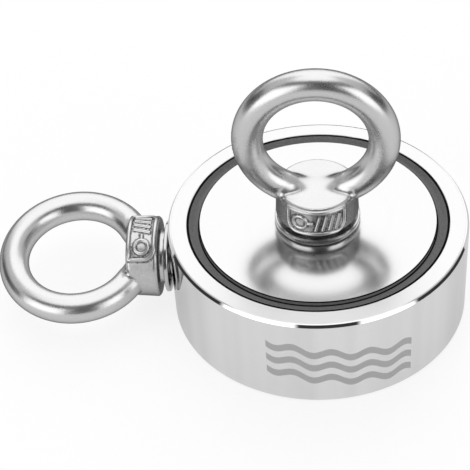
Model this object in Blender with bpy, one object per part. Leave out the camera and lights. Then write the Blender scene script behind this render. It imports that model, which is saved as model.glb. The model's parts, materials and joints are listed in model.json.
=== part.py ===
"""Magnet fishing magnet: a two-faced pot magnet with a screw-in eyebolt on top and one on its side.

Metres, +Z up. The origin is the centre of the lower working face, the pot's axis is Z,
and the side eyebolt points along -X.
"""
import math

import bmesh
import bpy
from mathutils import Matrix

# pot: one turned steel body, a web across the middle and a pocket on each face
POT_RADIUS = 0.0375
POT_HEIGHT = 0.0264
POCKET_RADIUS = 0.0327
POCKET_DEPTH = 0.0068
RIM_CHAMFER = 0.0005

# magnets, the adhesive under them and the potting ring round them
MAGNET_RADIUS = 0.0297
MAGNET_THICKNESS = 0.0060
MAGNET_CHAMFER = 0.0003
SHANK_HOLE_RADIUS = 0.0062
ADHESIVE_THICKNESS = 0.0004
POTTING_RECESS = 0.0012
GLUE_GAP = 0.0002
FIT_GAP = 0.0003

# eyebolt, M10: heights are measured along its axis from the underside of its collar
COLLAR_HEIGHT = 0.0080
COLLAR_BOTTOM_RADIUS = 0.0103
COLLAR_TOP_RADIUS = 0.00996
COLLAR_EDGE = 0.0005
NECK_RADIUS = 0.0067
NECK_LENGTH = 0.0013
SHANK_LENGTH = 0.0193
EYE_CENTRE = 0.02185
EYE_RADIUS = 0.01639
EYE_TUBE_RADIUS = 0.00381

# M10 x 1.5 right-hand thread; the tapped holes are larger all round by the clearance
THREAD_RADIUS = 0.0050
THREAD_PITCH = 0.0015
THREAD_DEPTH = 0.0008
THREAD_CREST = 0.0003
THREAD_CLEARANCE = 0.0003
TAP_BOTTOM_ROOM = 0.0008
TAP_MOUTH_ROOM = 0.0010

# washers: a full-size one on the top face, a small one on the side wall
WASHER_HOLE_RADIUS = 0.0055
TOP_WASHER_RADIUS = 0.0106
TOP_WASHER_THICKNESS = 0.0015
SIDE_WASHER_RADIUS = 0.0091
SIDE_WASHER_THICKNESS = 0.0011
WASHER_CHAMFER = 0.0003
SEAT_GAP = 0.0002

# the side eye hangs a little off level, its near edge lower
SIDE_EYE_ROLL = math.radians(10.2)

BIG_STEPS = 60
SMALL_STEPS = 36
EYE_STEPS = 40
TUBE_STEPS = 12
THREAD_STEPS = 16
THREAD_START = math.radians(4)
SMOOTH_ANGLE = math.radians(35)
MERGE = 1e-6


def clear_scene():
    for obj in list(bpy.data.objects):
        bpy.data.objects.remove(obj, do_unlink=True)


def metal(name, colour, roughness):
    return finish(name, colour, roughness, 1.0)


def finish(name, colour, roughness, metallic):
    material = bpy.data.materials.new(name)
    material.use_nodes = True
    shader = material.node_tree.nodes["Principled BSDF"]
    shader.inputs["Base Color"].default_value = (*colour, 1.0)
    shader.inputs["Roughness"].default_value = roughness
    shader.inputs["Metallic"].default_value = metallic
    return material


def add_object(name, mesh, material=None):
    obj = bpy.data.objects.new(name, mesh)
    bpy.context.collection.objects.link(obj)
    if material is not None and not mesh.materials:
        mesh.materials.append(material)
    return obj


def mesh_from(bm, name):
    bmesh.ops.remove_doubles(bm, verts=bm.verts, dist=MERGE)
    bmesh.ops.recalc_face_normals(bm, faces=bm.faces)
    mesh = bpy.data.meshes.new(name)
    bm.to_mesh(mesh)
    bm.free()
    mesh.shade_smooth()
    mesh.set_sharp_from_angle(angle=SMOOTH_ANGLE)
    return mesh


def turned(name, outline, steps, closed):
    """Spin an outline of (radius, height) points about Z; closed joins its last point to its first."""
    bm = bmesh.new()
    verts = [bm.verts.new((radius, 0.0, height)) for radius, height in outline]
    edges = [bm.edges.new(pair) for pair in zip(verts, verts[1:])]
    if closed:
        edges.append(bm.edges.new((verts[-1], verts[0])))
    bmesh.ops.spin(bm, geom=verts + edges, cent=(0, 0, 0), axis=(0, 0, 1),
                   angle=math.tau, steps=steps, use_merge=True)
    return mesh_from(bm, name)


def ring_outline(inner, outer, low, high, chamfer=0.0):
    """Section of a flat ring, with its outer edges chamfered when chamfer is given."""
    if not chamfer:
        return [(inner, low), (outer, low), (outer, high), (inner, high)]
    return [(inner, low), (outer - chamfer, low), (outer, low + chamfer),
            (outer, high - chamfer), (outer - chamfer, high), (inner, high)]


def threaded_rod(name, low, high, extra):
    """A right-hand threaded rod between two heights, larger all round by extra.

    Its thread is counted from height 0, so a rod and a tap made in the same frame are in step.
    It starts a few degrees round, where none of its edges lies along an edge of what it is joined to.
    """
    crest = THREAD_RADIUS + extra
    root = crest - THREAD_DEPTH
    flank = (THREAD_PITCH - THREAD_CREST) / 2
    first = math.floor(low / THREAD_PITCH) - 1
    turns = math.ceil(high / THREAD_PITCH) - first + 1
    start = first * THREAD_PITCH
    bm = bmesh.new()
    section = [(root, start), (crest, start + flank), (crest, start + flank + THREAD_CREST),
               (root, start + THREAD_PITCH)]
    verts = [bm.verts.new((radius, 0.0, height)) for radius, height in section]
    edges = [bm.edges.new(pair) for pair in zip(verts, verts[1:])]
    bmesh.ops.spin(bm, geom=verts + edges, cent=(0, 0, 0), axis=(0, 0, 1),
                   dvec=(0, 0, THREAD_PITCH / THREAD_STEPS), angle=math.tau * turns,
                   steps=THREAD_STEPS * turns)
    bmesh.ops.remove_doubles(bm, verts=bm.verts, dist=MERGE)
    for height, side in ((low, -1), (high, 1)):
        bmesh.ops.bisect_plane(bm, geom=bm.verts[:] + bm.edges[:] + bm.faces[:], dist=MERGE / 10,
                               plane_co=(0, 0, height), plane_no=(0, 0, side), clear_outer=True)
    rims = [edge for edge in bm.edges if edge.is_boundary]
    bmesh.ops.edgeloop_fill(bm, edges=rims)
    start_turn = Matrix.Rotation(THREAD_START, 3, "Z")
    bmesh.ops.rotate(bm, verts=bm.verts, cent=(0, 0, 0), matrix=start_turn)
    return mesh_from(bm, name)


def eye_mesh(name):
    """The eye: a round bar bent into a ring that stands in the XZ plane."""
    bm = bmesh.new()
    place = Matrix.Translation((EYE_RADIUS, 0, EYE_CENTRE))
    section = bmesh.ops.create_circle(bm, segments=TUBE_STEPS, radius=EYE_TUBE_RADIUS, matrix=place)
    rim = section["verts"] + bm.edges[:]
    bmesh.ops.spin(bm, geom=rim, cent=(0, 0, EYE_CENTRE), axis=(0, 1, 0),
                   angle=math.tau, steps=EYE_STEPS, use_merge=True)
    return mesh_from(bm, name)


def collar_mesh(name):
    """The drum-shaped collar and the neck below it, turned as one piece."""
    outline = [(0, -NECK_LENGTH), (NECK_RADIUS, -NECK_LENGTH), (NECK_RADIUS, 0),
               (COLLAR_BOTTOM_RADIUS - COLLAR_EDGE, 0), (COLLAR_BOTTOM_RADIUS, COLLAR_EDGE),
               (COLLAR_TOP_RADIUS, COLLAR_HEIGHT - COLLAR_EDGE),
               (COLLAR_TOP_RADIUS - COLLAR_EDGE, COLLAR_HEIGHT), (0, COLLAR_HEIGHT)]
    return turned(name, outline, SMALL_STEPS, closed=False)


def eyebolt_mesh():
    """Collar, eye and threaded shank united into one forged piece, shared by both eyebolts."""
    collar = add_object("eyebolt_collar", collar_mesh("eyebolt_collar"))
    shank_end = -NECK_LENGTH - SHANK_LENGTH
    shank_top = -NECK_LENGTH / 2
    tools = [add_object("eyebolt_eye", eye_mesh("eyebolt_eye")),
             add_object("eyebolt_shank", threaded_rod("eyebolt_shank", shank_end, shank_top, 0.0))]
    for tool in tools:
        union = collar.modifiers.new("union", "BOOLEAN")
        union.operation = "UNION"
        union.solver = "EXACT"
        union.object = tool
    depsgraph = bpy.context.evaluated_depsgraph_get()
    mesh = bpy.data.meshes.new_from_object(collar.evaluated_get(depsgraph))
    for obj in [collar] + tools:
        bpy.data.objects.remove(obj, do_unlink=True)
    mesh.name = "eyebolt"
    mesh.materials.clear()
    return mesh


def make_pot(material, seats):
    """The pot, tapped for each eyebolt along that eyebolt's own axis."""
    web_low = POCKET_DEPTH
    web_high = POT_HEIGHT - POCKET_DEPTH
    outline = [(0, web_low), (POCKET_RADIUS, web_low), (POCKET_RADIUS, 0),
               (POT_RADIUS - RIM_CHAMFER, 0), (POT_RADIUS, RIM_CHAMFER),
               (POT_RADIUS, POT_HEIGHT - RIM_CHAMFER), (POT_RADIUS - RIM_CHAMFER, POT_HEIGHT),
               (POCKET_RADIUS, POT_HEIGHT), (POCKET_RADIUS, web_high), (0, web_high)]
    pot = add_object("pot_body", turned("pot_body", outline, BIG_STEPS, closed=False), material)
    hole_end = -NECK_LENGTH - SHANK_LENGTH - TAP_BOTTOM_ROOM
    for name, seat, mouth in seats:
        tap_mesh = threaded_rod(name, hole_end, mouth + TAP_MOUTH_ROOM, THREAD_CLEARANCE)
        tap = add_object(name, tap_mesh)
        tap.parent = seat
        tap.hide_render = True
        tap.display_type = "WIRE"
        cut = pot.modifiers.new(name, "BOOLEAN")
        cut.operation = "DIFFERENCE"
        cut.solver = "EXACT"
        cut.object = tap
    return pot


def make_magnets(material):
    low = POT_HEIGHT - MAGNET_THICKNESS
    outline = ring_outline(SHANK_HOLE_RADIUS, MAGNET_RADIUS, low, POT_HEIGHT, MAGNET_CHAMFER)
    add_object("top_magnet", turned("top_magnet", outline, BIG_STEPS, closed=True), material)
    outline = ring_outline(0, MAGNET_RADIUS, 0, MAGNET_THICKNESS, MAGNET_CHAMFER)
    add_object("bottom_magnet", turned("bottom_magnet", outline, BIG_STEPS, closed=False), material)


def make_adhesive_beds(material):
    low = POT_HEIGHT - POCKET_DEPTH + GLUE_GAP
    outline = ring_outline(SHANK_HOLE_RADIUS, MAGNET_RADIUS, low, low + ADHESIVE_THICKNESS)
    add_object("top_adhesive_bed", turned("top_adhesive_bed", outline, BIG_STEPS, closed=True), material)
    low = MAGNET_THICKNESS + GLUE_GAP
    outline = ring_outline(0, MAGNET_RADIUS, low, low + ADHESIVE_THICKNESS)
    add_object("bottom_adhesive_bed", turned("bottom_adhesive_bed", outline, BIG_STEPS, closed=False),
               material)


def make_potting_rings(material):
    inner = MAGNET_RADIUS + FIT_GAP
    outer = POCKET_RADIUS - FIT_GAP
    floor = POCKET_DEPTH - FIT_GAP
    heights = {"top_epoxy_ring": (POT_HEIGHT - floor, POT_HEIGHT - POTTING_RECESS),
               "bottom_epoxy_ring": (POTTING_RECESS, floor)}
    for name, (low, high) in heights.items():
        outline = ring_outline(inner, outer, low, high)
        add_object(name, turned(name, outline, BIG_STEPS, closed=True), material)


def make_seat(name, location, rotation):
    """An empty on an eyebolt's axis, at the underside of its collar, with Z pointing out."""
    seat = bpy.data.objects.new(name, None)
    seat.matrix_world = Matrix.Translation(location) @ rotation
    bpy.context.collection.objects.link(seat)
    return seat


def make_washer(name, seat, radius, thickness, material):
    high = -NECK_LENGTH - SEAT_GAP
    outline = ring_outline(WASHER_HOLE_RADIUS, radius, high - thickness, high, WASHER_CHAMFER)
    washer = add_object(name, turned(name, outline, SMALL_STEPS, closed=True), material)
    washer.parent = seat


def collar_rise(washer_thickness):
    """Height of the collar's underside above the face that the washer lies on."""
    return SEAT_GAP + washer_thickness + SEAT_GAP + NECK_LENGTH


def main():
    clear_scene()
    plating = metal("nickel_plate", (0.80, 0.80, 0.79), 0.08)
    forging = metal("polished_steel", (0.62, 0.61, 0.60), 0.24)
    washer_steel = metal("washer_steel", (0.66, 0.66, 0.65), 0.20)
    potting = finish("black_epoxy", (0.035, 0.035, 0.037), 0.55, 0.0)
    adhesive = finish("adhesive", (0.30, 0.29, 0.25), 0.60, 0.0)

    top_rise = collar_rise(TOP_WASHER_THICKNESS)
    side_rise = collar_rise(SIDE_WASHER_THICKNESS)
    top_seat = make_seat("top_bolt_axis", (0, 0, POT_HEIGHT + top_rise), Matrix.Identity(4))
    outwards = Matrix.Rotation(math.radians(-90), 4, "Y")
    roll = Matrix.Rotation(SIDE_EYE_ROLL - math.radians(90), 4, "X")
    side_place = (-POT_RADIUS - side_rise, 0, POT_HEIGHT / 2)
    side_seat = make_seat("side_bolt_axis", side_place, roll @ outwards)

    make_pot(plating, [("top_tap", top_seat, -top_rise - POCKET_DEPTH),
                       ("side_tap", side_seat, -side_rise)])
    make_magnets(plating)
    make_adhesive_beds(adhesive)
    make_potting_rings(potting)
    make_washer("top_washer", top_seat, TOP_WASHER_RADIUS, TOP_WASHER_THICKNESS, washer_steel)
    make_washer("side_washer", side_seat, SIDE_WASHER_RADIUS, SIDE_WASHER_THICKNESS, washer_steel)

    bolt_mesh = eyebolt_mesh()
    bolt_mesh.materials.append(forging)
    for name, seat in (("top_eyebolt", top_seat), ("side_eyebolt", side_seat)):
        eyebolt = add_object(name, bolt_mesh)
        eyebolt.parent = seat


main()
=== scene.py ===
# Magnet fishing magnet: a bright nickel-plated pot with a magnet in each face and two forged eyebolts.
import json
import math
import bpy
import bmesh
from mathutils import Matrix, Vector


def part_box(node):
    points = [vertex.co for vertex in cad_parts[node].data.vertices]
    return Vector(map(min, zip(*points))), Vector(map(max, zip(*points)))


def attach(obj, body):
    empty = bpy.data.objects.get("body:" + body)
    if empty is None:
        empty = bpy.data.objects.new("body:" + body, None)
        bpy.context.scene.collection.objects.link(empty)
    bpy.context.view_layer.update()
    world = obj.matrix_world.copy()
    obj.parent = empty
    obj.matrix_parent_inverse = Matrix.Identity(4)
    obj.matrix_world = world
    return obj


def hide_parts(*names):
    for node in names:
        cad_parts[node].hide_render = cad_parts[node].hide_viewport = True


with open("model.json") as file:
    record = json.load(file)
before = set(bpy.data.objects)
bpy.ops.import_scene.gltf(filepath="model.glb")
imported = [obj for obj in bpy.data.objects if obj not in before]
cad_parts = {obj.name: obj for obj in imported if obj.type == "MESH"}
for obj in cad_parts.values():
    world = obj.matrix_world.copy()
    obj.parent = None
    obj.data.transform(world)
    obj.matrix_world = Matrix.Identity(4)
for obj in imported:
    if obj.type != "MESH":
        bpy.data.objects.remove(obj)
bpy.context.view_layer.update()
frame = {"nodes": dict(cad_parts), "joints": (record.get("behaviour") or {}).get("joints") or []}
mm = 0.001
mergeDistance = 0.001 * mm  # points closer than this become one

# everything below is placed from the frame's own pot, magnet and bolt axes
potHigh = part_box("pot_body")[1]
potRadius = potHigh.x
potHeight = potHigh.z
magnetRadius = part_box("top_magnet")[1].x
pocketRadius = magnetRadius + 3 * mm
joints = {joint["name"]: joint for joint in frame["joints"]}


def linear(code):  # sRGB hex to linear
    parts = [int(code[i:i + 2], 16) / 255 for i in (0, 2, 4)]
    return (*[p / 12.92 if p <= 0.04045 else ((p + 0.055) / 1.055) ** 2.4 for p in parts], 1.0)


# adds a shader node; an input may be a plain value, a socket, or a node whose first output is meant,
# and stops are the (place, sRGB hex) ends of a colour ramp
def addNode(tree, kind, inputs=None, stops=(), **settings):
    node = tree.nodes.new("ShaderNode" + kind)
    for name, value in settings.items():
        setattr(node, name, value)
    for name, value in (inputs or {}).items():
        if isinstance(value, bpy.types.Node):
            value = value.outputs[0]
        if isinstance(value, bpy.types.NodeSocket):
            tree.links.new(value, node.inputs[name])
        else:
            node.inputs[name].default_value = value
    for i, (place, code) in enumerate(stops):
        node.color_ramp.elements[i].position = place
        node.color_ramp.elements[i].color = linear(code)
    return node


def newMaterial(name, **sockets):
    material = bpy.data.materials.new(name)
    material.use_nodes = True
    tree = material.node_tree
    shader = tree.nodes["Principled BSDF"]
    for socket, value in sockets.items():
        shader.inputs[socket].default_value = value
    return material, tree, shader, addNode(tree, "TexCoord").outputs["Object"]


# a point's distance from the pot's axis
def fromAxis(tree, split):
    flat = addNode(tree, "CombineXYZ", {"X": split.outputs["X"], "Y": split.outputs["Y"]})
    return addNode(tree, "VectorMath", {0: flat}, operation="LENGTH").outputs["Value"]


# 1 within a small depth of the pot's two end faces, 0 elsewhere
def atEndFaces(tree, split, depth):
    height = addNode(tree, "Math", {0: split.outputs["Z"], 1: potHeight / 2}, operation="SUBTRACT")
    height = addNode(tree, "Math", {0: height}, operation="ABSOLUTE")
    return addNode(tree, "Math", {0: height, 1: potHeight / 2 - depth}, operation="GREATER_THAN")


# turns a bmesh into an object that rides on a body and, where a node is named, stands for it
def addPiece(name, bm, material, body, node=None, sharp=30):
    mesh = bpy.data.meshes.new(name)
    bm.to_mesh(mesh)
    bm.free()
    mesh.shade_smooth()
    mesh.set_sharp_from_angle(angle=math.radians(sharp))
    mesh.materials.append(material)
    piece = bpy.data.objects.new(name, mesh)
    bpy.context.scene.collection.objects.link(piece)
    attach(piece, body)
    if node:
        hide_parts(node)
    return piece


# spins (radius, height) points about Z
def turned(outline, steps, closed=True):
    bm = bmesh.new()
    verts = [bm.verts.new((r, 0, z)) for r, z in outline]
    edges = [bm.edges.new(pair) for pair in zip(verts, verts[1:])]
    if closed:
        edges.append(bm.edges.new((verts[-1], verts[0])))
    bmesh.ops.spin(bm, geom=verts + edges, cent=(0, 0, 0), axis=(0, 0, 1),
                   angle=math.tau, steps=steps, use_merge=True)
    bmesh.ops.remove_doubles(bm, verts=bm.verts, dist=mergeDistance)
    bmesh.ops.recalc_face_normals(bm, faces=bm.faces)
    return bm


# points of a rounded edge in an outline, between two angles in degrees
def corner(radius, height, rounding, start, end, count=5):
    angles = [math.radians(start + (end - start) * i / count) for i in range(count + 1)]
    return [(radius + rounding * math.cos(a), height + rounding * math.sin(a)) for a in angles]


def temporary(name, bm):
    mesh = bpy.data.meshes.new(name)
    bm.to_mesh(mesh)
    bm.free()
    obj = bpy.data.objects.new(name, mesh)
    bpy.context.scene.collection.objects.link(obj)
    return obj


# the finished mesh of a temporary object with modifiers, or of a curve; the object is then removed
def finished(obj):
    depsgraph = bpy.context.evaluated_depsgraph_get()
    bm = bmesh.new()
    bm.from_mesh(obj.evaluated_get(depsgraph).to_mesh())
    bpy.data.objects.remove(obj, do_unlink=True)
    return bm


# adds one bmesh to another
def join(bm, other):
    part = temporary("part", other)
    bm.from_mesh(part.data)
    bpy.data.objects.remove(part, do_unlink=True)


# the eyebolts: heights run along the bolt from the underside of its collar
eyebolt = dict(
    collarHeight=8.0 * mm, collarBottom=10.3 * mm, collarTop=9.96 * mm,  # the last two are radii
    topEdge=0.7 * mm, bottomEdge=0.45 * mm,
    neckRadius=6.7 * mm, neckLength=1.3 * mm, shankLength=19.3 * mm, tipChamfer=0.4 * mm,
    eyeCentre=21.85 * mm, eyeRadius=16.39 * mm, barRadius=3.81 * mm,
    threadRadius=5.0 * mm, pitch=1.5 * mm, threadDepth=0.8 * mm, crest=0.3 * mm,
    threadStart=4, threadSteps=48,  # degrees, and steps in each turn
    barSegments=48, ringSteps=144,  # steps round the bar, and round the eye and collar
    voxel=0.25 * mm, blend=1.1 * mm, smoothing=60,  # the fillets between eye and collar
    filletHeight=1.6, filletReach=1.4,  # both in blends
    saddle=6.5 * mm, saddleKeep=0.12,  # half width of the flat between the legs, and how much bar stays on it
    sideRoll=10.2)  # how far the side bolt is turned about its own axis, in degrees


# each bolt's own frame, with Z pointing out along its axis
def boltPlaces():
    outwards = Matrix.Rotation(math.radians(-90), 4, "Y")
    roll = Matrix.Rotation(math.radians(eyebolt["sideRoll"] - 90), 4, "X")
    return {"top": Matrix.Translation(joints["top_bolt_turn"]["pos_m"]),
            "side": Matrix.Translation(joints["side_bolt_turn"]["pos_m"]) @ roll @ outwards}


# a right-hand thread between two heights, larger all round by extra
def threadedRod(low, high, extra=0.0):
    b = eyebolt
    crest = b["threadRadius"] + extra
    root = crest - b["threadDepth"]
    flank = (b["pitch"] - b["crest"]) / 2
    first = math.floor(low / b["pitch"]) - 1
    turns = math.ceil(high / b["pitch"]) - first + 1
    start = first * b["pitch"]
    section = [(root, start), (crest, start + flank), (crest, start + flank + b["crest"]),
               (root, start + b["pitch"])]
    bm = bmesh.new()
    verts = [bm.verts.new((r, 0, z)) for r, z in section]
    edges = [bm.edges.new(pair) for pair in zip(verts, verts[1:])]
    bmesh.ops.spin(bm, geom=verts + edges, cent=(0, 0, 0), axis=(0, 0, 1),
                   dvec=(0, 0, b["pitch"] / b["threadSteps"]),
                   angle=math.tau * turns, steps=b["threadSteps"] * turns)
    bmesh.ops.remove_doubles(bm, verts=bm.verts, dist=mergeDistance)
    for height, side in ((low, -1), (high, 1)):
        bmesh.ops.bisect_plane(bm, geom=bm.verts[:] + bm.edges[:] + bm.faces[:], dist=mergeDistance / 10,
                               plane_co=(0, 0, height), plane_no=(0, 0, side), clear_outer=True)
    bmesh.ops.edgeloop_fill(bm, edges=[e for e in bm.edges if e.is_boundary])
    turn = Matrix.Rotation(math.radians(b["threadStart"]), 3, "Z")
    bmesh.ops.rotate(bm, verts=bm.verts, cent=(0, 0, 0), matrix=turn)
    bmesh.ops.recalc_face_normals(bm, faces=bm.faces)
    return bm


# bright nickel on turned and polished steel: a mirror with long faint bands round the wall, and a frosted
# etched mark of short wavy lines
def brightNickelPlate():
    look = dict(base="E6E6E6", bands=[(0.35, "EFEFEF"), (0.65, "F6F6F6")], bandsPerRadian=5.0,
                roughness=0.05, groundRoughness=0.4, edge="EEEEEE",
                wallDepth=0.2 * mm, faceDepth=0.04 * mm)  # how deep each of the two finishes reaches
    mark = dict(lines=3, pitch=4.3 * mm, stroke=2.2 * mm, wave=9.3 * mm, swing=0.9 * mm, soft=0.08 * mm,
                middleTurn=9.5, middleHeight=11.9 * mm, length=36.5 * mm, slope=-0.153,  # the turn in degrees
                base="C0C0C0", roughness=0.42)
    material, tree, shader, place = newMaterial("brightNickelPlate", Metallic=1.0)
    shader.inputs["Specular Tint"].default_value = linear(look["edge"])
    split = addNode(tree, "SeparateXYZ", {"Vector": place})
    front = addNode(tree, "Math", {0: split.outputs["Y"], 1: -1.0}, operation="MULTIPLY")
    turn = addNode(tree, "Math", {0: split.outputs["X"], 1: front}, operation="ARCTAN2")
    wall = addNode(tree, "Math", {0: fromAxis(tree, split), 1: potRadius - look["wallDepth"]},
                   operation="GREATER_THAN")
    # faint lighter upright bands, on the wall only
    bands = addNode(tree, "TexNoise", {"W": turn, "Scale": look["bandsPerRadian"], "Detail": 1.0},
                    noise_dimensions="1D")
    banded = addNode(tree, "ValToRGB", {"Fac": bands}, stops=look["bands"])
    plain = addNode(tree, "Mix", {"Factor": wall, "A": linear(look["base"]), "B": banded}, data_type="RGBA")
    # the mark follows the wall: how far along it and across it a point is
    along = addNode(tree, "Math", {0: turn, 1: math.radians(mark["middleTurn"])}, operation="SUBTRACT")
    along = addNode(tree, "Math", {0: along, 1: potRadius}, operation="MULTIPLY")
    lean = addNode(tree, "Math", {0: along, 1: -mark["slope"], 2: split.outputs["Z"]},
                   operation="MULTIPLY_ADD")
    across = addNode(tree, "Math", {0: lean, 1: mark["middleHeight"]}, operation="SUBTRACT")
    phase = addNode(tree, "Math", {0: along, 1: math.tau / mark["wave"]}, operation="MULTIPLY")
    swing = addNode(tree, "Math", {0: phase}, operation="SINE")
    across = addNode(tree, "Math", {0: swing, 1: mark["swing"], 2: across}, operation="MULTIPLY_ADD")
    off = addNode(tree, "Math", {0: across, 1: mark["pitch"] / 2}, operation="PINGPONG")
    etched = addNode(tree, "MapRange", {"Value": off, "From Min": mark["stroke"] / 2 + mark["soft"],
                                        "From Max": mark["stroke"] / 2 - mark["soft"]})
    for offset, limit in ((across, mark["lines"] * mark["pitch"] / 2), (along, mark["length"] / 2)):
        far = addNode(tree, "Math", {0: offset}, operation="ABSOLUTE")
        near = addNode(tree, "Math", {0: far, 1: limit}, operation="LESS_THAN")
        etched = addNode(tree, "Math", {0: etched, 1: near}, operation="MULTIPLY")
    etched = addNode(tree, "Math", {0: etched, 1: wall}, operation="MULTIPLY")
    colour = addNode(tree, "Mix", {"Factor": etched, "A": plain.outputs["Result"], "B": linear(mark["base"])},
                     data_type="RGBA")
    # the two end faces are ground flush with the magnets, so they are satin
    ground = atEndFaces(tree, split, look["faceDepth"])
    plainRough = addNode(tree, "MapRange", {"Value": ground, "To Min": look["roughness"],
                                            "To Max": look["groundRoughness"]})
    rough = addNode(tree, "MapRange", {"Value": etched, "To Min": plainRough, "To Max": mark["roughness"]})
    tree.links.new(colour.outputs["Result"], shader.inputs["Base Color"])
    tree.links.new(rough.outputs["Result"], shader.inputs["Roughness"])
    return material


# nickel on a ground and tumbled sintered disc: satin, so what stands on it is mirrored softly, with a
# black hairline painted along the edge of its face as the dark reflection of its rounded edge
def satinNickelPlate():
    look = dict(tones=[(0.0, "DCDCDC"), (1.0, "E0E0E0")], roughness=0.19, spread=0.15, grain=0.6 * mm,
                hairline="0A0A0A", hairlineWidth=0.27 * mm, hairlineDepth=0.2 * mm)
    material, tree, shader, place = newMaterial("satinNickelPlate", Metallic=1.0)
    grain = addNode(tree, "TexNoise", {"Vector": place, "Scale": 1 / look["grain"], "Detail": 3.0})
    tone = addNode(tree, "ValToRGB", {"Fac": grain}, stops=look["tones"])
    rough = addNode(tree, "MapRange", {"Value": grain, "To Min": look["roughness"] * (1 - look["spread"]),
                                       "To Max": look["roughness"] * (1 + look["spread"])})
    split = addNode(tree, "SeparateXYZ", {"Vector": place})
    # painted dark reflection: a black hairline round the edge of the face, standing for the dark its rounded
    # edge reflects
    edge = addNode(tree, "Math", {0: fromAxis(tree, split), 1: magnetRadius - look["hairlineWidth"]},
                   operation="GREATER_THAN")
    face = atEndFaces(tree, split, look["hairlineDepth"])
    hairline = addNode(tree, "Math", {0: edge, 1: face}, operation="MULTIPLY")
    colour = addNode(tree, "Mix", {"Factor": hairline, "A": tone, "B": linear(look["hairline"])},
                     data_type="RGBA")
    tree.links.new(colour.outputs["Result"], shader.inputs["Base Color"])
    tree.links.new(rough.outputs["Result"], shader.inputs["Roughness"])
    return material


# drop-forged steel, tumbled and nickel plated: a soft satin bar with slight dents, and a dark sandy skin
# where the collar keeps its as-forged surface, darkened further as painted shade at the foot of the mark's
# raised lines (as much as the skin attribute on the mesh says)
def tumbledForgedSteel():
    look = dict(base="DCDCDC", skinAndShade="6A6A6A", edge="707070", roughness=0.28, spread=0.15,
                skinRoughness=0.34, dent=3.0 * mm, dentDepth=0.02 * mm, grit=0.5 * mm,
                gritDepth=0.07 * mm, satinDepth=0.006 * mm, mottleFrom=(0.35, 0.65), mottleTo=(0.5, 1.3))
    material, tree, shader, place = newMaterial("tumbledForgedSteel", Metallic=1.0)
    shader.inputs["Specular Tint"].default_value = linear(look["edge"])
    skinAndShade = addNode(tree, "Attribute", attribute_name="castSkinAndShade").outputs["Fac"]
    dent = addNode(tree, "TexNoise", {"Vector": place, "Scale": 1 / look["dent"], "Detail": 3.0})
    grit = addNode(tree, "TexNoise", {"Vector": place, "Scale": 1 / look["grit"], "Detail": 2.0})
    # the grit mottles the skin's tone, and is drawn coarser than real shot-blast so that it shows
    mottle = addNode(tree, "MapRange", {"Value": grit,
                                        "From Min": look["mottleFrom"][0], "From Max": look["mottleFrom"][1],
                                        "To Min": look["mottleTo"][0], "To Max": look["mottleTo"][1]})
    # the dark is the kept skin, and at the foot of the mark's lines it is painted shade
    dark = addNode(tree, "Math", {0: skinAndShade, 1: mottle}, operation="MULTIPLY")
    colour = addNode(tree, "Mix", {"Factor": dark, "A": linear(look["base"]), "B": linear(look["skinAndShade"])},
                     data_type="RGBA")
    rough = addNode(tree, "MapRange", {"Value": dent, "To Min": look["roughness"] * (1 - look["spread"]),
                                       "To Max": look["roughness"] * (1 + look["spread"])})
    rough = addNode(tree, "Mix", {"Factor": skinAndShade, "A": rough, "B": look["skinRoughness"]})
    gritDepth = addNode(tree, "MapRange", {"Value": skinAndShade, "To Min": look["satinDepth"],
                                           "To Max": look["gritDepth"]})
    gritHeight = addNode(tree, "Math", {0: grit, 1: gritDepth}, operation="MULTIPLY")
    bump = addNode(tree, "Bump", {"Height": dent, "Distance": look["dentDepth"]})
    bump = addNode(tree, "Bump", {"Height": gritHeight, "Distance": 1.0, "Normal": bump})
    tree.links.new(colour.outputs["Result"], shader.inputs["Base Color"])
    tree.links.new(rough.outputs["Result"], shader.inputs["Roughness"])
    tree.links.new(bump.outputs["Normal"], shader.inputs["Normal"])
    return material


# stamped and plated steel: a little duller than the pot, with a fine rolled grain
def stampedWasherSteel():
    look = dict(tones=[(0.0, "C8C8C8"), (1.0, "D6D6D6")], roughness=0.18, spread=0.2, grain=0.8 * mm)
    material, tree, shader, place = newMaterial("stampedWasherSteel", Metallic=1.0)
    grain = addNode(tree, "TexNoise", {"Vector": place, "Scale": 1 / look["grain"], "Detail": 3.0})
    tone = addNode(tree, "ValToRGB", {"Fac": grain}, stops=look["tones"])
    rough = addNode(tree, "MapRange", {"Value": grain, "To Min": look["roughness"] * (1 - look["spread"]),
                                       "To Max": look["roughness"] * (1 + look["spread"])})
    tree.links.new(tone.outputs["Color"], shader.inputs["Base Color"])
    tree.links.new(rough.outputs["Result"], shader.inputs["Roughness"])
    return material


# potting for the ring round each magnet: each list runs outwards as (distance, height) points
potting = dict(
    steps=192, recess=1.2 * mm, depth=6.5 * mm,  # both below the working face
    creep=[(0, 0.2 * mm), (0.1 * mm, 0.08 * mm), (0.3 * mm, 0)],  # from the magnet, above the trough
    troughWidth=1.4 * mm,
    bend=[(-0.35 * mm, 0), (0, 0.05 * mm), (0.35 * mm, 0.3 * mm)],  # from the trough's edge, above the trough
    lip=[(-0.15 * mm, -0.2 * mm), (0, -0.05 * mm), (0.1 * mm, 0)],  # from the lip's inner edge, above its top
    lipRecess=0.1 * mm,  # below the working face
    lipWidth=0.55 * mm, footWidth=0.25 * mm)  # the two black lines of painted shade, along the pot's wall and at the magnet's foot
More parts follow.
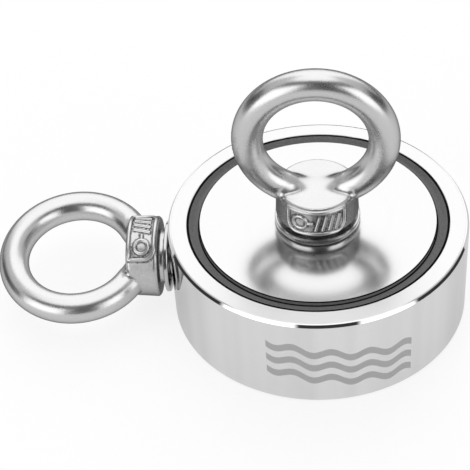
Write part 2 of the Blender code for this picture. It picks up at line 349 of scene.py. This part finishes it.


# mineral-filled black epoxy, cast in place: grey with dust in the trough, and glossy black where it climbs
# the pot's wall and at the magnet's foot, where the black is painted shade standing for the shade of the wall
# and the magnet
def castBlackEpoxy():
    # black for the lines of painted shade at the pot's wall and the magnet's foot, grey with dust in the
    # trough
    look = dict(shadeBlack="030303", dust=[(0.3, "6E6E6F"), (0.7, "868687")], shadeRoughness=0.3,
                dustRoughness=0.6, speckle=0.35 * mm, speckleDepth=0.02 * mm, soft=0.05 * mm)
    material, tree, shader, place = newMaterial("castBlackEpoxy", **{"IOR": 1.5, "Specular IOR Level": 0.03})
    radius = fromAxis(tree, addNode(tree, "SeparateXYZ", {"Vector": place}))
    lip = pocketRadius - potting["lipWidth"]
    foot = magnetRadius + potting["footWidth"]
    # painted shade: the potting turns black in a line at the magnet's foot and along the lip at the pot's
    # wall, and is grey with dust between
    inner = addNode(tree, "MapRange", {"Value": radius, "From Min": foot - look["soft"],
                                       "From Max": foot + look["soft"]})
    outer = addNode(tree, "MapRange", {"Value": radius, "From Min": lip + look["soft"],
                                       "From Max": lip - look["soft"]})
    dustNotShade = addNode(tree, "Math", {0: inner, 1: outer}, operation="MULTIPLY")
    speckle = addNode(tree, "TexNoise", {"Vector": place, "Scale": 1 / look["speckle"], "Detail": 4.0})
    dust = addNode(tree, "ValToRGB", {"Fac": speckle}, stops=look["dust"])
    colour = addNode(tree, "Mix", {"Factor": dustNotShade, "A": linear(look["shadeBlack"]), "B": dust}, data_type="RGBA")
    rough = addNode(tree, "MapRange", {"Value": dustNotShade, "To Min": look["shadeRoughness"],
                                       "To Max": look["dustRoughness"]})
    height = addNode(tree, "Math", {0: speckle, 1: dustNotShade}, operation="MULTIPLY")
    bump = addNode(tree, "Bump", {"Height": height, "Distance": look["speckleDepth"]})
    tree.links.new(colour.outputs["Result"], shader.inputs["Base Color"])
    tree.links.new(rough.outputs["Result"], shader.inputs["Roughness"])
    tree.links.new(bump.outputs["Normal"], shader.inputs["Normal"])
    return material


# cured two-part adhesive, squeezed flat under each magnet: cloudy beige, half matt
def curedAdhesive():
    look = dict(tones=[(0.0, "8A8576"), (1.0, "9B9686")], roughness=0.6, cloud=4 * mm)
    material, tree, shader, place = newMaterial("curedAdhesive", Roughness=look["roughness"])
    cloud = addNode(tree, "TexNoise", {"Vector": place, "Scale": 1 / look["cloud"]})
    tone = addNode(tree, "ValToRGB", {"Fac": cloud}, stops=look["tones"])
    tree.links.new(tone.outputs["Color"], shader.inputs["Base Color"])
    return material


# pot: an H section turned from bar, tapped in the middle of its web and through its wall
pot = dict(steps=256, pocketDepth=6.8 * mm, chamfer=0.5 * mm, chamferHeight=0.75 * mm, innerChamfer=0.12 * mm,
           rollWidth=0.38 * mm, rollDrop=0.13 * mm,  # grinding rolls the rim off a little before its chamfer
           tapClearance=0.3 * mm, tapRoom=0.8 * mm, mouthWidth=0.9 * mm, sinkSteps=64, overrun=1 * mm)


def makePot(material):
    p = pot
    rim, inner = potRadius - p["chamfer"], p["innerChamfer"]
    half = [(0, p["pocketDepth"]), (pocketRadius, p["pocketDepth"]), (pocketRadius, inner),
            (pocketRadius + inner, 0), (rim - p["rollWidth"], 0), (rim, p["rollDrop"]),
            (potRadius, p["chamferHeight"])]
    outline = half + [(r, potHeight - z) for r, z in reversed(half)]
    body = temporary("potBlank", turned(outline, p["steps"], closed=False))
    places = boltPlaces()
    # how far each hole's mouth lies below its bolt's collar
    mouths = {"top": places["top"].translation.z - (potHeight - p["pocketDepth"]),
              "side": -potRadius - places["side"].translation.x}
    end = -eyebolt["neckLength"] - eyebolt["shankLength"] - p["tapRoom"]
    wide = eyebolt["threadRadius"] + p["mouthWidth"]
    tools = []
    for side, mouth in mouths.items():
        over = p["overrun"]
        tap = threadedRod(end, over - mouth, p["tapClearance"])
        # a countersink at the hole's mouth
        sink = turned([(0, -mouth - wide), (wide + over, over - mouth), (0, over - mouth)], p["sinkSteps"],
                      closed=False)
        for name, bm in (("tap", tap), ("sink", sink)):
            bm.transform(places[side])
            tool = temporary(side + name, bm)
            tools.append(tool)
            cut = body.modifiers.new(tool.name, "BOOLEAN")
            cut.operation = "DIFFERENCE"
            cut.solver = "EXACT"
            cut.object = tool
    bm = finished(body)
    for tool in tools:
        bpy.data.objects.remove(tool, do_unlink=True)
    addPiece("pot", bm, material, "magnet", "pot_body", sharp=12)


# magnets: the upper disc has a hole for its bolt's shank, and the lower one is whole
magnets = dict(steps=192, thickness=6.0 * mm, edge=0.15 * mm, hole=6.2 * mm)


def makeMagnets(material):
    r, t, e, hole = magnetRadius, magnets["thickness"], magnets["edge"], magnets["hole"]
    top = [(hole, potHeight - t), (r, potHeight - t)] + corner(r - e, potHeight - e, e, 0, 90)
    top += corner(hole + e, potHeight - e, e, 90, 180)
    addPiece("topMagnet", turned(top, magnets["steps"]), material, "magnet", "top_magnet")
    bottom = [(0, 0)] + corner(r - e, e, e, -90, 0) + [(r, t), (0, t)]
    addPiece("bottomMagnet", turned(bottom, magnets["steps"], closed=False), material, "magnet",
             "bottom_magnet")


# from the magnet's foot into the trough, then sloping up to a narrow lip along the pot's wall
def makePotting(material):
    p = potting
    surface = [(magnetRadius + r, z - p["recess"]) for r, z in p["creep"]]
    surface += [(magnetRadius + p["troughWidth"] + r, z - p["recess"]) for r, z in p["bend"]]
    surface += [(pocketRadius - p["lipWidth"] + r, z - p["lipRecess"]) for r, z in p["lip"]]
    surface += [(pocketRadius, -p["lipRecess"]), (pocketRadius, -p["depth"]), (magnetRadius, -p["depth"])]
    for side in ("top", "bottom"):
        outline = [(r, potHeight + z if side == "top" else -z) for r, z in surface]
        addPiece(side + "Potting", turned(outline, p["steps"]), material, "magnet",
                 side + "_epoxy_ring")


# eye, collar and neck fused into one skin, with the forging's soft fillets where they meet
def forging():
    b = eyebolt
    bm = bmesh.new()
    place = Matrix.Translation((b["eyeRadius"], 0, b["eyeCentre"]))
    section = bmesh.ops.create_circle(bm, segments=b["barSegments"], radius=b["barRadius"], matrix=place)
    bmesh.ops.spin(bm, geom=section["verts"] + bm.edges[:], cent=(0, 0, b["eyeCentre"]), axis=(0, 1, 0),
                   angle=math.tau, steps=b["ringSteps"], use_merge=True)
    bmesh.ops.recalc_face_normals(bm, faces=bm.faces)
    top, bottom, high = b["topEdge"], b["bottomEdge"], b["collarHeight"]
    outline = [(0, -b["neckLength"]), (b["neckRadius"], -b["neckLength"]), (b["neckRadius"], 0),
               (b["collarBottom"] - bottom, 0), (b["collarBottom"], bottom), (b["collarTop"], high - top),
               (b["collarTop"] - top, high), (0, high)]
    join(bm, turned(outline, b["ringSteps"], closed=False))
    blank = temporary("forgingBlank", bm)
    fuse = blank.modifiers.new("fuse", "REMESH")
    fuse.mode = "VOXEL"
    fuse.voxel_size = b["voxel"]
    bm = finished(blank)
    # the bar sinks into the collar's top, so the top is almost flat between the eye's two legs
    for v in bm.verts:
        rise = v.co.z - high
        share = abs(v.co.x) / b["saddle"]
        if 0 < rise < b["barRadius"] and share < 1 and abs(v.co.y) < b["barRadius"] + b["blend"]:
            share = share * share * (3 - 2 * share)
            v.co.z = high + rise * (b["saddleKeep"] + (1 - b["saddleKeep"]) * share)
    bmesh.ops.smooth_vert(bm, verts=bm.verts, factor=0.5, use_axis_x=True, use_axis_y=True, use_axis_z=True)
    fillet = [v for v in bm.verts if nearFillet(v.co)]
    for _ in range(b["smoothing"]):
        bmesh.ops.smooth_vert(bm, verts=fillet, factor=0.5, use_axis_x=True, use_axis_y=True, use_axis_z=True)
    return bm


# whether a point lies close to both the eye's bar and the collar's top
def nearFillet(point):
    b = eyebolt
    if not -b["blend"] < point.z - b["collarHeight"] < b["blend"] * b["filletHeight"]:
        return False
    fromRing = math.hypot(point.x, point.z - b["eyeCentre"]) - b["eyeRadius"]
    fromBar = math.hypot(fromRing, point.y) - b["barRadius"]
    return (abs(fromBar) < b["blend"] * b["filletReach"]
            and math.hypot(point.x, point.y) < b["collarTop"] + b["blend"])


# the raised mark on the front of the collar: a frame with a small picture of an eyebolt in it;
# places are (round the collar, up the collar)
collarMark = dict(halfLength=7.35 * mm, low=0.75 * mm, high=7.2 * mm, rounding=2.6 * mm,
                  frame=0.52 * mm, stroke=0.48 * mm,  # half thicknesses of the lines
                  middle=3.9 * mm, tall=4.3 * mm, step=0.7 * mm,
                  eye=dict(place=-4.1 * mm, radius=1.75 * mm), stem=(-2.35 * mm, -0.75 * mm),
                  thread=dict(places=(0.35 * mm, 2.05 * mm, 3.75 * mm, 5.45 * mm), lean=0.55 * mm))


# the mark's lines, each with its half thickness and whether it closes on itself
def markLines():
    m = collarMark
    h, low, high, r = m["halfLength"], m["low"], m["high"], m["rounding"]
    frameLine = [(-h, high)] + corner(-h + r, low + r, r, 180, 270, 8)
    frameLine += corner(h - r, low + r, r, 270, 360, 8) + [(h, high)]
    middle, half, lean = m["middle"], m["tall"] / 2, m["thread"]["lean"]
    eye = corner(m["eye"]["place"], middle, m["eye"]["radius"], 0, 345, 23)
    stem = [(u, middle) for u in m["stem"]]
    lines = [(frameLine, m["frame"], True), (eye, m["stroke"], True), (stem, m["stroke"], False)]
    for u in m["thread"]["places"]:
        lines.append(([(u - lean, middle - half), (u + lean, middle + half)], m["stroke"], False))
    return lines


def collarMarks():
    marks = bmesh.new()
    for line, thick, closed in markLines():
        curve = bpy.data.curves.new("mark", "CURVE")
        curve.dimensions = "3D"
        curve.bevel_depth = thick
        curve.bevel_resolution = 3
        curve.use_fill_caps = True
        spline = curve.splines.new("POLY")
        points = onCollar(line + line[:1] if closed else line)
        if closed:
            points.pop()
        spline.points.add(len(points) - 1)
        for target, point in zip(spline.points, points):
            target.co = (*point, 1)
        spline.use_cyclic_u = closed
        obj = bpy.data.objects.new("mark", curve)
        bpy.context.scene.collection.objects.link(obj)
        join(marks, finished(obj))
    bmesh.ops.recalc_face_normals(marks, faces=marks.faces)
    return marks


def collarRadius(height):
    share = height / eyebolt["collarHeight"]
    return eyebolt["collarBottom"] + (eyebolt["collarTop"] - eyebolt["collarBottom"]) * share


# wraps a line round the collar, with enough points to follow its curve
def onCollar(line):
    points = []
    for (u0, v0), (u1, v1) in zip(line, line[1:]):
        count = max(1, math.ceil(math.hypot(u1 - u0, v1 - v0) / collarMark["step"]))
        points += [(u0 + (u1 - u0) * i / count, v0 + (v1 - v0) * i / count) for i in range(count)]
    points.append(line[-1])
    places = []
    for u, v in points:
        radius = collarRadius(v)
        places.append((radius * math.sin(u / radius), -radius * math.cos(u / radius), v))
    return places


# how far a point on the collar is from the foot of the mark's nearest line
def fromMark(u, v):
    nearest = 1.0
    for line, thick, closed in markLines():
        for (u0, v0), (u1, v1) in zip(line, line[1:] + line[:1] if closed else line[1:]):
            share = ((u - u0) * (u1 - u0) + (v - v0) * (v1 - v0)) / ((u1 - u0) ** 2 + (v1 - v0) ** 2)
            share = min(max(share, 0.0), 1.0)
            away = math.hypot(u - u0 - share * (u1 - u0), v - v0 - share * (v1 - v0)) - thick
            nearest = min(nearest, away)
    return nearest


# how much of the dark forged skin is kept, from 0 to 1: some on the collar's side, less inside the frame,
# and most at the foot of the raised lines, which is painted shade cast by the lines; the side bolt gets less,
# painted lighter for how the light falls on it
castSkinAndShade = dict(wall=0.42, inFrame=0.3, foot=0.9, footWidth=0.28 * mm, bolt=dict(top=1.0, side=0.4),
                low=0.03, high=0.93,  # shares of the collar's height
                reach=0.8 * mm, fade=0.5 * mm, margin=1 * mm)


def skinAndShadeAt(point, side):
    s, m = castSkinAndShade, collarMark
    off = abs(math.hypot(point.x, point.y) - collarRadius(point.z))
    if not s["low"] < point.z / eyebolt["collarHeight"] < s["high"] or off > s["reach"]:
        return 0.0
    u = math.atan2(point.x, -point.y) * eyebolt["collarTop"]
    nearMark = abs(u) < m["halfLength"] + s["margin"] and point.y < 0
    # painted shade: the foot of each raised line is darkened as if it lay in the line's shade
    if nearMark and fromMark(u, point.z) < s["footWidth"]:
        return s["foot"]
    inFrame = abs(u) < m["halfLength"] and m["low"] < point.z < m["high"]
    # painted light: the side bolt's collar keeps less of the dark, so it is lighter, standing for the light
    # falling on it
    kept = s["bolt"][side] * s["inFrame" if inFrame else "wall"]
    return kept * min(1, (s["reach"] - off) / s["fade"])


def makeEyebolts(material):
    b = eyebolt
    end = -b["neckLength"] - b["shankLength"]
    for side, place in boltPlaces().items():
        body = side + "_eyebolt"
        bm = forging()
        # the attribute holds the kept skin, with painted shade at the foot of the mark's lines and the side
        # bolt painted lighter
        skinAndShade = bm.verts.layers.float.new("castSkinAndShade")
        for v in bm.verts:
            v[skinAndShade] = skinAndShadeAt(v.co, side)
        join(bm, collarMarks())
        bm.transform(place)
        addPiece(side + "Forging", bm, material, body, body, sharp=50)
        bm = threadedRod(end, -b["neckLength"] / 2)
        # a turned chamfer on the shank's tip
        for v in bm.verts:
            limit = b["threadRadius"] - b["threadDepth"] - b["tipChamfer"] + v.co.z - end
            shrink = min(1, limit / math.hypot(v.co.x, v.co.y))
            v.co.x *= shrink
            v.co.y *= shrink
        bm.transform(place)
        addPiece(side + "Shank", bm, material, body)


# washers, stamped: the upper edge is crisp after a slight roll-off, and the lower one rolled over
washers = dict(top=dict(radius=10.6 * mm, thickness=1.5 * mm), side=dict(radius=9.1 * mm, thickness=1.1 * mm),
               hole=5.5 * mm, gap=0.2 * mm, crisp=0.1 * mm, rollWidth=0.35 * mm, rollDrop=0.12 * mm,
               rolled=0.42 * mm, steps=128)


def makeWashers(material):
    w = washers
    high = -eyebolt["neckLength"] - w["gap"]
    for side, place in boltPlaces().items():
        radius, low = w[side]["radius"], high - w[side]["thickness"]
        outline = [(w["hole"], low)] + corner(radius - w["rolled"], low + w["rolled"], w["rolled"], -90, 0)
        outline += [(radius, high - w["rollDrop"] - w["crisp"]), (radius - w["crisp"], high - w["rollDrop"]),
                    (radius - w["crisp"] - w["rollWidth"], high), (w["hole"], high)]
        bm = turned(outline, w["steps"])
        bm.transform(place)
        addPiece(side + "Washer", bm, material, side + "_washer", side + "_washer", sharp=12)


# a pale sheet, lit a little from below as on a light table, so shadows stay faint;
# it lights the object less than it shows, so the metal keeps its contrast
floorSheet = dict(radius=3.0, under=0.1 * mm, tones=[(0.0, "8C8C8C"), (1.0, "8F8F8F")],
                  cloudsPerMetre=3.0, roughness=0.95, glow=0.78, glowOnObject=0.52)


def makeFloor():
    f = floorSheet
    bm = bmesh.new()
    bmesh.ops.create_circle(bm, cap_ends=True, segments=64, radius=f["radius"],
                            matrix=Matrix.Translation((0, 0, -f["under"])))
    floor = temporary("floor", bm)
    material, tree, shader, place = newMaterial("paleFloor", **{
        "Roughness": f["roughness"], "Specular IOR Level": 0.0, "Emission Color": (1, 1, 1, 1)})
    tone = addNode(tree, "TexNoise", {"Vector": place, "Scale": f["cloudsPerMetre"]})
    ramp = addNode(tree, "ValToRGB", {"Fac": tone}, stops=f["tones"])
    tree.links.new(ramp.outputs["Color"], shader.inputs["Base Color"])
    ray = addNode(tree, "LightPath").outputs["Is Camera Ray"]
    glow = addNode(tree, "MapRange", {"Value": ray, "To Min": f["glowOnObject"], "To Max": f["glow"]})
    tree.links.new(glow.outputs["Result"], shader.inputs["Emission Strength"])
    floor.data.materials.append(material)


# a dark studio with a white ceiling, a white wall behind, a softbox on each side of the camera, and two dim
# panels on each side; turn is measured from the front towards the right, wide is half a lamp's width, and
# low and high are heights, all in degrees
studio = dict(dark=0.04, seen=0.98, lamps=[
    dict(turn=180, wide=200, low=63, high=120, soft=5, power=1.35),
    dict(turn=180, wide=43, low=11, high=70, soft=6, power=1.35),
    dict(turn=-41, wide=26, low=-12, high=40, soft=3, power=1.6),
    dict(turn=49.5, wide=20, low=-12, high=40, soft=3, power=1.6),
    dict(turn=-105, wide=34, low=29, high=63, soft=3, power=0.6),
    dict(turn=105, wide=34, low=29, high=63, soft=3, power=0.6),
    dict(turn=-130, wide=15, low=10, high=33, soft=4, power=0.55),
    dict(turn=130, wide=15, low=10, high=33, soft=4, power=0.55)])


def makeLight():
    world = bpy.data.worlds.new("studio")
    bpy.context.scene.world = world
    world.use_nodes = True
    tree = world.node_tree
    for node in list(tree.nodes):
        tree.nodes.remove(node)
    direction = addNode(tree, "TexCoord").outputs["Generated"]
    split = addNode(tree, "SeparateXYZ", {"Vector": direction})
    rise = addNode(tree, "Math", {0: split.outputs["Z"]}, operation="ARCSINE")
    light = addNode(tree, "Value")
    light.outputs[0].default_value = studio["dark"]
    for lamp in studio["lamps"]:
        # how far a direction is turned from the lamp's middle
        a = math.radians(lamp["turn"])
        across = addNode(tree, "VectorMath", {0: direction, 1: (math.cos(a), math.sin(a), 0)},
                         operation="DOT_PRODUCT").outputs["Value"]
        ahead = addNode(tree, "VectorMath", {0: direction, 1: (math.sin(a), -math.cos(a), 0)},
                        operation="DOT_PRODUCT").outputs["Value"]
        off = addNode(tree, "Math", {0: across, 1: ahead}, operation="ARCTAN2")
        off = addNode(tree, "Math", {0: off}, operation="ABSOLUTE")
        power = lamp["power"]
        for value, edge, side in ((off, lamp["wide"], 1), (rise, lamp["low"], -1), (rise, lamp["high"], 1)):
            fade = side * lamp["soft"]
            part = addNode(tree, "MapRange", {"Value": value, "From Min": math.radians(edge + fade),
                                              "From Max": math.radians(edge - fade)},
                           interpolation_type="SMOOTHSTEP")
            power = addNode(tree, "Math", {0: part, 1: power}, operation="MULTIPLY")
        light = addNode(tree, "Math", {0: light, 1: power}, operation="MAXIMUM")
    shine = addNode(tree, "Background", {"Strength": light, "Color": (1, 1, 1, 1)})
    seen = addNode(tree, "Background", {"Strength": studio["seen"], "Color": (1, 1, 1, 1)})
    ray = addNode(tree, "LightPath").outputs["Is Camera Ray"]
    addNode(tree, "OutputWorld", {"Surface": addNode(tree, "MixShader", {0: ray, 1: shine, 2: seen})})
    bpy.context.scene.view_settings.view_transform = "Standard"


# looking down at the object from the front, a little to the right, tilted a few degrees; angles in radians
shot = dict(place=(9.70 * mm, -284.79 * mm, 285.12 * mm), turn=0.1072, down=0.7458, tilt=-0.0743,
            lens=118.15, sensor=36.0, near=0.01)


def makeCamera():
    data = bpy.data.cameras.new("camera")
    data.lens = shot["lens"]
    data.sensor_width = shot["sensor"]
    data.clip_start = shot["near"]
    camera = bpy.data.objects.new("camera", data)
    level = Matrix.Rotation(shot["turn"], 4, "Z") @ Matrix.Rotation(math.pi / 2 - shot["down"], 4, "X")
    camera.matrix_world = Matrix.Translation(shot["place"]) @ level @ Matrix.Rotation(shot["tilt"], 4, "Z")
    bpy.context.scene.collection.objects.link(camera)
    bpy.context.scene.camera = camera


makeCamera()
makeFloor()
makeLight()
print("camera, floor and light are set")
makePot(brightNickelPlate())
print("pot is turned and tapped")
makeMagnets(satinNickelPlate())
makePotting(castBlackEpoxy())
print("magnets and potting are in")
makeEyebolts(tumbledForgedSteel())
makeWashers(stampedWasherSteel())
print("eyebolts and washers are on")
adhesive = curedAdhesive()
for name in ("top_adhesive_bed", "bottom_adhesive_bed"):
    frame["nodes"][name].data.materials.clear()
    frame["nodes"][name].data.materials.append(adhesive)
print("adhesive beds have their finish")
